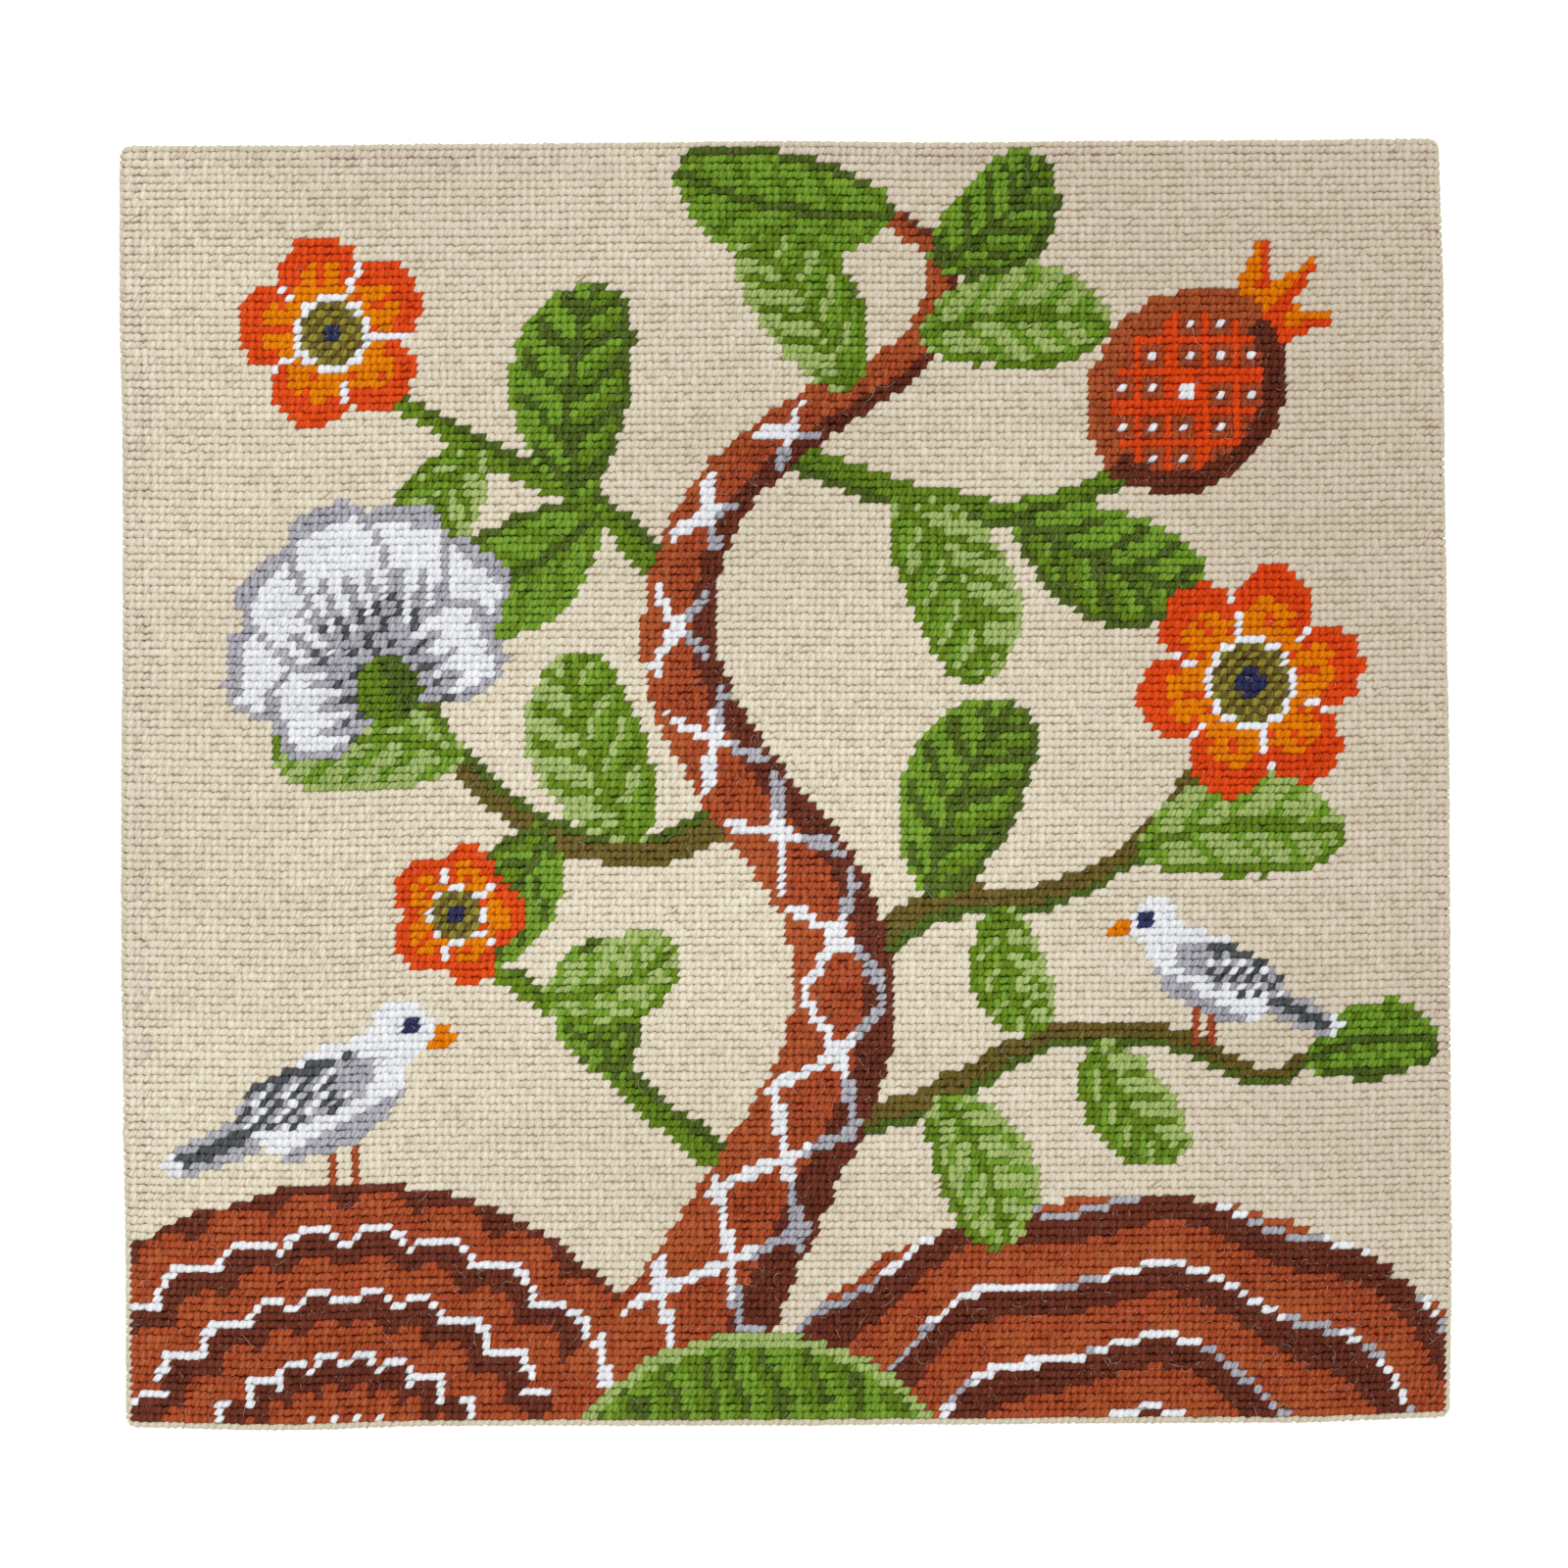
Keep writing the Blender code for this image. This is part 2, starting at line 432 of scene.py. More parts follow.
def workTrunk(points):
    # rust bark with a brown side, a copper side and a diamond net in white
    inside, side, place, width = workStem(points, "rust", "brown", "copper")
    core = inside & (width > 6.5) & (np.abs(side) < 0.5 * width - 0.9)
    net = core & (netGap(place, side * 1.25, 15.0) < 1.2)
    work(net, "white")
    work(net & (side < -0.14 * width), "lilacGrey")
    work(inside & (width <= 6.5) & (np.abs(side) < 0.7) & (place % 7.0 < 4.0), "copper")


leafTones = {
    # light half, dark half, veins, rim
    "fresh": ("lightGreen", "brightGreen", "midGreen", "midGreen"),
    "full": ("brightGreen", "midGreen", "darkGreen", "darkGreen"),
    "pale": ("lightGreen", "lightGreen", "brightGreen", "midGreen"),
    "deep": ("brightGreen", "brightGreen", "midGreen", "darkGreen"),
}


def workLeaf(x0, y0, angle, length, width, bend, tone):
    light, dark, vein, rim = leafTones[tone]
    along, across = turned(x0, y0, angle)
    share = along / length
    across = across - bend * width * 4.0 * share * (1.0 - share)
    outline = np.clip(share, 0, 1) ** 0.58 * np.clip(1 - share, 0, 1) ** 0.46 * 1.60
    half = 0.5 * width * outline
    inside = (share > 0) & (share < 1) & (np.abs(across) < half + 0.3 * handWobble)
    work(inside, light)
    work(inside & (across < 0.25 * patchNoise(along, across, 2.0, 5)), dark)
    slope = along - 0.9 * np.abs(across)
    spacing = max(length / 5.0, 3.6)
    streak = (slope + 0.7 * handWobble) % spacing
    work(inside & (streak < 0.34 * spacing) & (np.abs(across) < 0.86 * half), vein)
    bright = (streak > 0.72 * spacing) & (across < 0) & (np.abs(across) < 0.75 * half)
    work(inside & bright, light)
    work(inside & (np.abs(across) < 0.62), rim)
    work(inside & (across < -half + 1.15) & (share > 0.1), rim)


def workRosette(x0, y0, radius, petals, turn):
    dx, dy = stitchX - x0, stitchY - y0
    away, angle = np.hypot(dx, dy), (np.arctan2(dy, dx) - radians(turn)) * petals / 2
    petal = np.abs(np.cos(angle))
    outline = radius * (0.70 + 0.30 * petal**0.7) + 0.35 * handWobble
    inside = away < outline
    work(inside, "orange")
    work(inside & (away > outline - 0.24 * radius), "redOrange")
    streak = np.abs(np.sin(angle * 3))
    ring = (away > 0.42 * radius) & (away < 0.86 * radius)
    work(inside & ring & (streak < 0.34) & (petal > 0.45), "redOrange")
    work(inside & (petal < 0.13) & (away > 0.4 * radius), "white")
    work(away < 0.40 * radius, "white")
    work(away < 0.33 * radius, "moss")
    work((away < 0.33 * radius) & ((np.floor(stitchX) + np.floor(stitchY)) % 2 == 0), "olive")
    work(away < 0.12 * radius, "navy")


def workPeony(x0, y0, radius, turn):
    # a fan of white petals with grey shade and charcoal veins at their feet
    fan = ((150, 0.98), (30, 0.98), (118, 1.06), (62, 1.06), (90, 1.12), (175, 0.72), (5, 0.72))
    for lean, size in fan:
        along, across = turned(x0, y0, turn + lean - 90)
        share = along / (radius * size)
        half = 0.60 * radius * np.clip(share, 0, 1) ** 0.75 * np.clip(1.08 - share, 0, 1) ** 0.42
        inside = (share > 0) & (share < 1.04) & (np.abs(across) < half + 0.3 * handWobble)
        work(inside, "white")
        work(inside & ((np.abs(across) > half - 1.15) | (share > 0.93)), "lilacGrey")
        foot = share < 0.52 + 0.16 * np.cos(across * 2.2)
        work(inside & foot & (np.abs(across) < half * 0.8), "lilacGrey")
        rib = (np.abs(np.sin(across * 1.25)) < 0.42) & (share < 0.46)
        work(inside & rib, "charcoal")
    cup, side = turned(x0, y0, turn)
    calyx = np.hypot(cup + 0.02 * radius, side) < 0.21 * radius
    work(calyx, "midGreen")
    work(calyx & (side < 0), "darkGreen")


def workPomegranate(x0, y0, radius, turn):
    along, across = turned(x0, y0, turn)
    tipX, tipY = x0 + 0.9 * radius * np.cos(radians(turn)), y0 + 0.9 * radius * np.sin(radians(turn))
    for lean, size in ((-34, 1.0), (34, 1.0), (0, 1.15)):
        a, b = turned(tipX, tipY, turn + lean)
        crown = (a > 0) & (a < radius * 0.95 * size) & (np.abs(b) < 0.30 * radius * (1 - a / radius / 1.2))
        work(crown, "orange")
        work(crown & (b < -0.3), "redOrange")
    away = np.hypot(along / 1.18, across)
    body = away < radius + 0.3 * handWobble
    inner = away < radius * 0.78
    work(body & (across < 0), "brown")
    work(body & (across >= 0), "copper")
    net = netGap(along, across, 6.0)
    work(inner, "rust")
    work(inner & (net < 0.9), "redOrange")
    work(inner & (net > 2.2), "white")


def workMound(x0, y0, halfWidth, height, kind):
    dx, dy = (stitchX - x0) / halfWidth, (stitchY - y0) / height
    lift = 1.0 - np.hypot(dx, dy)
    inside = lift > 0.012 * handWobble
    depth = lift * height
    if kind == "scallops":
        bearing = np.degrees(np.arctan2(dy * height, dx * halfWidth))
        scale = np.abs(np.sin(np.radians(bearing * 12)))
        band = (depth + 2.2 * scale) % 8.0
        work(inside, "rust")
        work(inside & (band < 2.9), "brown")
        work(inside & (band > 6.9), "white")
        work(inside & (band > 4.2) & (band < 5.8) & (scale > 0.6), "copper")
    if kind == "furrows":
        wave = (depth + 1.2 * np.sin(stitchX / 4.2)) % 9.0
        work(inside, "brown")
        work(inside & (wave > 4.2), "rust")
        work(inside & (wave > 6.0) & (patchNoise(stitchX, stitchY, 3.2, 13) > 0.0), "copper")
        work(inside & (wave < 1.0), "lilacGrey")
        work(inside & (wave < 1.0) & (patchNoise(stitchX, stitchY, 6.0, 14) > -0.1), "white")
    if kind == "grass":
        blade = (stitchX + 0.35 * stitchY + 1.4 * handWobble) % 5.0
        work(inside, "midGreen")
        work(inside & (blade < 1.9), "brightGreen")
        work(inside & (blade > 3.9), "darkGreen")
        work(inside & (depth < 1.6), "lightGreen")


def workBird(x0, y0, size, facing):
    # a plain bird: tail, body, neck, head, and a folded wing with barred feathers
    dx, dy = (stitchX - x0) * facing / size, (stitchY - y0) / size

    def oval(cx, cy, rx, ry, lean):
        a = radians(lean)
        u = ((dx - cx) * np.cos(a) + (dy - cy) * np.sin(a)) / rx
        v = ((dy - cy) * np.cos(a) - (dx - cx) * np.sin(a)) / ry
        return np.hypot(u, v) < 1.0 - 0.03 * handWobble, u, v

    tail, tailU, tailV = oval(-1.05, -0.42, 0.62, 0.17, 22)
    body, _, bodyV = oval(-0.05, 0.0, 0.78, 0.45, 28)
    whole = body | oval(0.62, 0.62, 0.29, 0.27, 0)[0] | oval(0.42, 0.33, 0.38, 0.27, 60)[0]
    wing, wingU, wingV = oval(-0.28, 0.05, 0.70, 0.27, 20)
    bars = (wingU * 5.2 + wingV * 1.4) % 1.0
    work(tail, "lilacGrey")
    work(tail & (np.abs(tailV) < 0.35), "charcoal")
    work(tail & (tailU < -0.72), "white")
    work(whole, "white")
    work(body & (bodyV < -0.55), "lilacGrey")
    work(wing, "lilacGrey")
    work(wing & (bars < 0.36) & (wingU < 0.45), "charcoal")
    work(wing & (bars > 0.74) & (wingU < 0.55), "white")
    work(wing & (wingV > 0.62), "charcoal")
    work((np.abs(dx - 0.70) < 1.0 / size) & (np.abs(dy - 0.66) < 1.0 / size), "navy")
    beak = (dx > 0.88) & (dx < 1.16) & (np.abs(dy - 0.58 + 0.25 * (dx - 0.88)) < 0.36 * (1.25 - dx))
    work(beak & ~whole, "orange")
    for place in (-0.06, 0.18):
        leg = (np.abs(dx - place) < 0.5 / size) & (dy < -0.36) & (dy > -0.80)
        work(leg & ~whole, "rust")


trunkLine = ((70, 2, 27), (77, 16, 19), (86, 32, 15.5), (95, 50, 13.5), (93, 68, 12), (81, 84, 11),
             (74, 101, 9.6), (79, 118, 8.2), (92, 129, 6.6), (105, 137, 5), (109, 148, 3.4), (102, 155, 2.4))
branchLines = (
    # rows of x, y and width, each line from the trunk outwards
    ((94, 58, 5), (108, 67, 4.2), (122, 68, 3.4), (134, 74, 3), (142, 84, 2.4)),
    ((84, 80, 5), (70, 74, 4.2), (56, 77, 3.6), (45, 86, 3), (40, 95, 2.4)),
    ((75, 106, 4.4), (63, 118, 3.6), (50, 124, 3), (38, 131, 2.4)),
    ((86, 125, 4.2), (104, 119, 3.6), (119, 117, 3), (132, 121, 2.4)),
    ((90, 38, 4.6), (106, 42, 4), (122, 50, 3.2), (138, 50, 2.8), (150, 45, 2.4), (157, 48, 2)),
    ((83, 32, 4.2), (70, 42, 3.6), (58, 54, 2.8), (48, 60, 2.2)),
)
leafRows = (
    # x, y, angle, length, width, bend, tone
    (107, 68, 66, 27, 20, 0.10, "full"),
    (116, 67, -74, 17, 13, -0.10, "fresh"),
    (134, 74, 4, 27, 17, 0.12, "pale"),
    (69, 75, 112, 26, 19, 0.10, "fresh"),
    (57, 77, -128, 21, 16, 0.10, "full"),
    (46, 86, 178, 25, 17, -0.12, "pale"),
    (64, 117, -152, 26, 18, 0.10, "deep"),
    (61, 119, 84, 27, 20, 0.12, "full"),
    (48, 125, -118, 19, 14, -0.10, "fresh"),
    (103, 119, -64, 26, 18, 0.12, "fresh"),
    (118, 117, -22, 27, 18, -0.10, "full"),
    (106, 139, 4, 25, 17, 0.12, "pale"),
    (108, 148, 42, 20, 16, -0.10, "full"),
    (103, 155, 170, 29, 18, 0.12, "deep"),
    (97, 132, 124, 24, 17, -0.10, "fresh"),
    (108, 43, -66, 21, 16, 0.10, "pale"),
    (128, 50, -54, 19, 14, -0.10, "fresh"),
    (66, 45, 100, 18, 14, 0.10, "full"),
    (56, 55, 20, 19, 14, -0.10, "pale"),
    (156, 47, 8, 17, 13, 0.10, "deep"),
)


def stainStitches():
    # the canvas's printed border line greys the cream worked over it, where it hasn't faded
    left, right, top = printedLine["places"]
    away = np.minimum(np.minimum(np.abs(stitchX - left), np.abs(stitchX - right)), np.abs(stitchY - top))
    beside = (stitchX > left - 1) & (stitchX < right + 1) & (stitchY < top + 1)
    stain = printedLine["stain"] + printedLine["stainFade"] * (stitchY / rowCount - stitchX / columnCount)
    stain = stain + stitchPatch("stain", stitchX, stitchY)
    draw = np.random.default_rng(chartSizes["seed"]).random(chart.shape)
    plain = chart == yarnNumber["cream"]
    work(plain & beside & (away < 1.0) & (draw < stain), "stainedCream")


def workChart():
    workMound(132, -8, 52, 38, "furrows")
    workMound(30, -8, 47, 40, "scallops")
    for line in branchLines:
        workStem(line, "midGreen" if line[0][2] < 4.5 else "olive", "darkGreen")
    workTrunk(trunkLine)
    workMound(84, -16, 30, 29, "grass")
    for row in leafRows:
        workLeaf(*row)
    workRosette(149, 95, 15, 6, 12)
    workRosette(29, 140, 12.5, 5, 30)
    workRosette(45, 66, 9, 5, 0)
    workPeony(36, 95, 21, 112)
    workPomegranate(141, 132, 12, 44)
    workBird(29, 43, 14, 1)
    workBird(143, 58, 11, -1)
    work(onEdge(stitchX - 0.5, stitchY - 0.5), "edgeCream")
    stainStitches()


workChart()
print("chart worked:", chart.size, "stitches in", len(np.unique(chart)), "yarns")


# Twisted wool yarn: matt and hairy, with the slanting groove of its plies along each stitch

woolSizes = {
    "plyWidth": 1.1,  # across the yarn
    "twistLength": 4.0,  # one turn of the plies along the yarn
    "fibreWidth": 0.24,  # a lock of hairs, drawn coarser than the real 0.03 so that it shows
    "fibreLength": 1.6,
    "grooveDepth": 0.22,
    "grooveShare": 0.13,  # of the relief, beside the hairs
    "reliefStrength": 0.8,
    "hairDetail": 2.0,
    "hairRoughness": 0.6,
    "reliefShade": 1.45,  # how far the relief is painted into the colour as light and shade
    "roughness": 0.95,
    "sheen": 0.09,
    "sheenRoughness": 0.45,
    "specular": 0.04,
}


def makeWool(name, crown, paintedShade, otherLot):
    # soft matt wool; the twist and fine hairs give each stitch its slanting grain, in its bump and in
    # painted shade
    material, tree, shader = startMaterial(name, {
        "Roughness": woolSizes["roughness"],
        "Sheen Weight": woolSizes["sheen"],
        "Sheen Roughness": woolSizes["sheenRoughness"],
        "Sheen Tint": hexToLinear(crown),
        "Specular IOR Level": woolSizes["specular"],
    })
    lie = addNode(tree, "UVMap", uv_map="yarnLie").outputs["UV"]
    twist = (2 * pi / woolSizes["twistLength"], -2 * pi / woolSizes["plyWidth"], 0.0)
    phase = addNode(tree, "VectorMath", {0: lie, 1: twist}, operation="DOT_PRODUCT")
    groove = addNode(tree, "Math", {0: phase.outputs["Value"]}, operation="SINE")
    lay = addNode(tree, "Mapping", {
        "Vector": lie,
        "Rotation": (0.0, 0.0, np.arctan2(woolSizes["plyWidth"], woolSizes["twistLength"])),
        "Scale": (woolSizes["fibreLength"], woolSizes["fibreWidth"], 1.0),
    }, vector_type="TEXTURE")
    hairs = addNode(tree, "TexNoise", {
        "Vector": lay.outputs["Vector"],
        "Scale": 1.0,
        "Detail": woolSizes["hairDetail"],
        "Roughness": woolSizes["hairRoughness"],
    })
    relief = addNode(tree, "Math", {
        0: groove.outputs[0], 1: woolSizes["grooveShare"], 2: hairs.outputs["Fac"],
    }, operation="MULTIPLY_ADD")
    bump = addNode(tree, "Bump", {
        "Strength": woolSizes["reliefStrength"],
        "Distance": woolSizes["grooveDepth"] * mm,
        "Height": relief.outputs[0],
    })
    # crown colour or painted shade, from the stitch's own tone and painted shade, with painted shade in the
    # groove and between the hairs
    tone = addNode(tree, "Attribute", attribute_name="yarnTone").outputs["Fac"]
    middle = addNode(tree, "Math", {0: relief.outputs[0], 1: 0.5}, operation="SUBTRACT")
    share = addNode(tree, "Math", {
        0: middle.outputs[0], 1: woolSizes["reliefShade"], 2: tone,
    }, operation="MULTIPLY_ADD", use_clamp=True)
    # the dyeLot attribute holds the lot patches and the darkening towards the rim
    lotAndRimDarkening = addNode(tree, "Attribute", attribute_name="dyeLot").outputs["Fac"]
    # a mix takes its share at input 0 and its two colours at 6 and 7
    raised = addNode(tree, "Mix", {
        0: lotAndRimDarkening, 6: hexToLinear(crown), 7: hexToLinear(otherLot),
    }, data_type="RGBA")
    colour = addNode(tree, "Mix", {
        0: share.outputs[0], 6: hexToLinear(paintedShade), 7: raised.outputs[2],
    }, data_type="RGBA")
    tree.links.new(colour.outputs[2], shader.inputs["Base Color"])
    tree.links.new(bump.outputs["Normal"], shader.inputs["Normal"])
    return material


woolMaterials = [makeWool(name + "Wool", *colours) for name, colours in yarns.items()]
print("wool dyed:", len(woolMaterials), "yarns")


def makeWoolPiece(name, points, faces, yarn, cells, lie, tone, lotAndRimDarkening):
    # a piece of wool; yarn has one number for each of its stitches, knobs or hairs
    used = np.unique(yarn)
    return makePiece(
        name, points, faces, [woolMaterials[number] for number in used],
        {"OFBake": cells, "yarnLie": lie}, {"yarnTone": tone, "dyeLot": lotAndRimDarkening},
        np.repeat(np.searchsorted(used, yarn), len(faces) // len(yarn)),
    )


# Tent stitches: each a short run of yarn from one hole, over a crossing of the canvas, to the next

stitchSizes = {
    "pitchX": clothWidth / columnCount,
    "pitchY": clothHeight / rowCount,
    "lean": 48.0,  # degrees up from the row
    "cut": 167.0,  # degrees from the row to the line across a stitch, which its pressed ends follow
    "length": 3.48,
    "halfWidth": 1.58,
    "tipHeight": 0.34,
    "tipShade": 0.50,  # painted shade on the side of a tip that dips into its hole, painted light on the side that stays up
    "tone": 0.70,  # from the painted shade's colour, 0, to the crown's, 1
    "toneJitter": 0.06,  # each jitter is a standard deviation
    "placeJitter": 0.09,
    "leanJitter": 4.5,
    "cutJitter": 9.0,
    "sizeJitter": 0.075,
    "heightJitter": 0.09,
    "edgeLoose": 0.4,  # share of the jitter left in the edge rows
    "edgePlump": 1.05,
    # share of the painted shade that the edge rows keep
    "edgeShade": 0.55,
    "pressedLevel": 0.03,
    "slackShare": 0.02,
    "slackSize": 1.16,  # a stitch that was left slack is fatter
    "lieSize": (4.2, 3.4),  # a stitch's length and width on the yarn's pattern
    "lieRange": 60.0,  # it starts anywhere in this much of it
    "cellMargin": 0.06,
    "rowsInPiece": 24,
    "seed": 7,
}

dullSizes = {
    # the wool is mixed a little more with its other lot's darker colour near the rim, above all at the upper
    # right
    "start": -0.53,
    "rim": 1.2,
    "right": 0.8,
    "top": 0.35,
}

stationRows = (
    # share along the stitch, share of its width, height of its core, thickness above the core,
    # painted shade and highlight, and how far it tips towards the hole that it dives into
    (-0.50, 0.54, -0.55, 0.50, -0.40, 1.00),
    (-0.36, 0.88, 0.22, 0.72, -0.06, 0.50),
    (0.00, 1.02, 0.44, 0.80, 0.06, 0.00),
    (0.36, 0.88, 0.22, 0.72, -0.06, -0.50),
    (0.50, 0.54, -0.55, 0.50, -0.40, -1.00),
)
arcAngles = np.radians((-100.0, -34.0, 34.0, 100.0))
stationPlace, stationWidth, coreHeight, thickness, stationShade, dive = np.array(stationRows).T[:, :, None]
tipShare = dive * np.sin(arcAngles)


def onCloth(column, row):
    # where a place of the chart lies on the laid-out cloth
    return column * stitchSizes["pitchX"] - clothWidth / 2, row * stitchSizes["pitchY"] - clothHeight / 2


def stitchTones(column, row):
    # each stitch's tone, from patches, rows and its own yarn, and its share of the other lot's colour, which
    # also grows towards the rim
    rng = np.random.default_rng(stitchSizes["seed"] + 1)
    tone = stitchSizes["tone"] + rng.normal(0.0, stitchSizes["toneJitter"], column.shape)
    tone = tone + stitchPatch("rowTone", column, row) + stitchPatch("tone", column, row)
    across, up = column / columnCount, row / rowCount
    away = np.maximum(np.abs(across - 0.5), np.abs(up - 0.5))
    lotAndRimDarkening = dullSizes["start"] + dullSizes["rim"] * away + dullSizes["right"] * across + dullSizes["top"] * up
    lotAndRimDarkening = lotAndRimDarkening + stitchPatch("dyeLot", column, row) + stitchPatch("dyeSpeck", column, row)
    return tone, np.clip(lotAndRimDarkening, 0.0, 1.0)


def stitchPoints(column, row):
    # points of these stitches in the cloth's own measures, shaped (stitch, station, arc)
    rng = np.random.default_rng(stitchSizes["seed"] + int(row.min()))
    count = column.shape
    tension = 1.0 + stitchPatch("tension", column, row)
    # the rows that roll over the edge lie closer and more evenly
    edge = onEdge(column, row)
    loose = np.where(edge, stitchSizes["edgeLoose"], 1.0)
    size = tension * (1.0 + loose * rng.normal(0.0, stitchSizes["sizeJitter"], count))
    size = np.where(edge, size * stitchSizes["edgePlump"], size)
    slack = rng.random(count) < stitchSizes["slackShare"]
    size = np.where(slack, size * stitchSizes["slackSize"], size)
    lean = np.radians(rng.normal(stitchSizes["lean"], stitchSizes["leanJitter"], count))
    offX = loose * rng.normal(0.0, stitchSizes["placeJitter"], count) + stitchPatch("placeX", column, row)
    offY = loose * rng.normal(0.0, stitchSizes["placeJitter"], count) + stitchPatch("placeY", column, row)
    s, t = onCloth(column + 0.5, row + 0.5)
    s, t = s + offX, t + offY
    size, lean = size[:, None, None], lean[:, None, None]
    along = stationPlace * stitchSizes["length"]
    across = stationWidth * stitchSizes["halfWidth"] * np.sin(arcAngles) * size
    height = coreHeight + thickness * np.cos(arcAngles) - stitchSizes["tipHeight"] * tipShare
    cut = np.radians(rng.normal(stitchSizes["cut"], stitchSizes["cutJitter"], count))[:, None, None]
    lift = (loose * rng.normal(0.0, stitchSizes["heightJitter"], count))[:, None, None]
    p = s[:, None, None] + along * np.cos(lean) + across * np.cos(cut)
    q = t[:, None, None] + along * np.sin(lean) + across * np.sin(cut)
    return p, q, height * np.where(height > 0, size, 1.0) + lift


def stitchMaps(count, rng):
    # where each stitch lies on the yarn's pattern, in mm, and its cell of the piece's atlas
    places = gridPlaces(np.linspace(0, 1, len(stationRows)), np.linspace(0, 1, len(arcAngles)))[None]
    start = rng.uniform(0.0, stitchSizes["lieRange"], (count, 1, 2))
    lie = places * stitchSizes["lieSize"] + start
    return lie.reshape(-1, 2), atlasCells(np.repeat(places, count, axis=0), stitchSizes["cellMargin"])


def makeStitches():
    pieces = []
    # painted shade at the ends and tips of each stitch, a slight painted highlight in its middle
    stitchShading = (stationShade - stitchSizes["tipShade"] * tipShare).ravel()
    rng = np.random.default_rng(stitchSizes["seed"])
    for first in range(0, rowCount, stitchSizes["rowsInPiece"]):
        last = min(first + stitchSizes["rowsInPiece"], rowCount)
        row, column = gridPlaces(np.arange(first, last), np.arange(columnCount)).T
        p, q, h = stitchPoints(column, row)
        places, out = clothFrame(p, q)
        points = (places + out * h[..., None]).reshape(-1, 3)
        # those that roll under are pressed flat on the surface
        points[:, 2] = np.maximum(points[:, 2], stitchSizes["pressedLevel"])
        tone, lotAndRimDarkening = stitchTones(column, row)
        # the painted shade is weaker where the rows roll over the edge
        depth = np.where(onEdge(column, row), stitchSizes["edgeShade"], 1.0)
        toneAndShade = tone[:, None] + depth[:, None] * stitchShading[None]
        lie, cells = stitchMaps(len(row), rng)
        pieces.append(makeWoolPiece(
            "wool_rows_%03d_to_%03d" % (first + 1, last),
            points,
            stripQuads(len(row), len(stationRows), len(arcAngles)),
            chart[row, column], cells, lie, toneAndShade.ravel(), np.repeat(lotAndRimDarkening, stitchShading.size),
        ))
    return pieces


stitchPieces = makeStitches()
print("stitches worked:", len(stitchPieces), "pieces")


# Cotton canvas: even weave, coloured with the painted shade of the stitches over it and a printed line, bare
# where it is turned under

canvasSizes = {
    "bareColour": "#E9E0CC",
    "holeShade": "#E2DACA",  # painted shade: multiplies the canvas colour where no thread lies
    "hemRows": round(clothSizes["hemWidth"] / stitchSizes["pitchX"]),
    "rise": 0.05,  # the threads' crowns stand above the cloth's own middle
    "lineColour": "#906E6E",
    "roughness": 0.9,
    "specular": 0.2,
    "threadDepth": 0.5,
    "threadStrength": 0.9,
    "holeStart": 0.25,  # heights on a thread between which the hole's shade ends
    "holeEnd": 0.6,
}


def canvasShadeAndInk(column, row, stitched):
    # the colour at each hole: painted shade, the darker colour of the stitches that meet there, with the
    # printed line's ink; the bare canvas keeps its own colour
    paintedShade = np.array([hexToLinear(colours[1])[:3] for colours in yarns.values()])
    beyond = canvasSizes["hemRows"] + 1
    around = np.pad(chart, beyond, "edge")
    low, high = around[row + beyond - 1, column + beyond - 1], around[row + beyond, column + beyond]
    paint = (paintedShade[low] + paintedShade[high]) / 2
    left, right, top = printedLine["places"]
    upLine = ((column == left) | (column == right)) & (row <= top)
    acrossLine = (row == top) & (column >= left) & (column <= right)
    line = upLine | acrossLine
    strength = printedLine["ink"] - printedLine["inkFade"] * column / columnCount
    strength = strength + stitchPatch("ink", column, row)
    ink = np.array(hexToLinear(canvasSizes["lineColour"])[:3])
    paint[line] += (ink - paint[line]) * np.clip(strength, 0.0, 1.0)[line, None]
    paint[~stitched] = hexToLinear(canvasSizes["bareColour"])[:3]
    return np.hstack([paint, np.ones((len(paint), 1))])


def makeCanvasMaterial():
    # stiff cotton threads, over and under, with painted shade darkening the holes between them
    material, tree, shader = startMaterial("cottonCanvas", {
        "Roughness": canvasSizes["roughness"],
        "Specular IOR Level": canvasSizes["specular"],
    })
    lie = addNode(tree, "UVMap", uv_map="threadLie").outputs["UV"]
    split = addNode(tree, "SeparateXYZ", {"Vector": lie})
    # one pitch is one turn, so a thread's crown is where the cosine is at its lowest
    crowns = []
    for axis in ("X", "Y"):
        turn = addNode(tree, "Math", {0: split.outputs[axis], 1: 2 * pi}, operation="MULTIPLY")
        wave = addNode(tree, "Math", {0: turn.outputs[0]}, operation="COSINE")
        crown = addNode(tree, "Math", {
            0: wave.outputs[0], 1: -0.5, 2: 0.5,
        }, operation="MULTIPLY_ADD")
        crowns.append(crown.outputs[0])
    weave = addNode(tree, "Math", dict(enumerate(crowns)), operation="MAXIMUM")
    bump = addNode(tree, "Bump", {
        "Strength": canvasSizes["threadStrength"],
        "Distance": canvasSizes["threadDepth"] * mm,
        "Height": weave.outputs[0],
    })
    solid = addNode(tree, "MapRange", {
        "Value": weave.outputs[0],
        "From Min": canvasSizes["holeStart"],
        "From Max": canvasSizes["holeEnd"],
    })
    paint = addNode(tree, "Attribute", attribute_name="paint").outputs["Color"]
    # painted shade in the open holes
    shadedHoles = addNode(tree, "Mix", {
        0: 1.0, 6: paint, 7: hexToLinear(canvasSizes["holeShade"]),
    }, data_type="RGBA", blend_type="MULTIPLY")
    colour = addNode(tree, "Mix", {
        0: solid.outputs["Result"], 6: shadedHoles.outputs[2], 7: paint,
    }, data_type="RGBA")
    tree.links.new(colour.outputs[2], shader.inputs["Base Color"])
    tree.links.new(bump.outputs["Normal"], shader.inputs["Normal"])
    return material


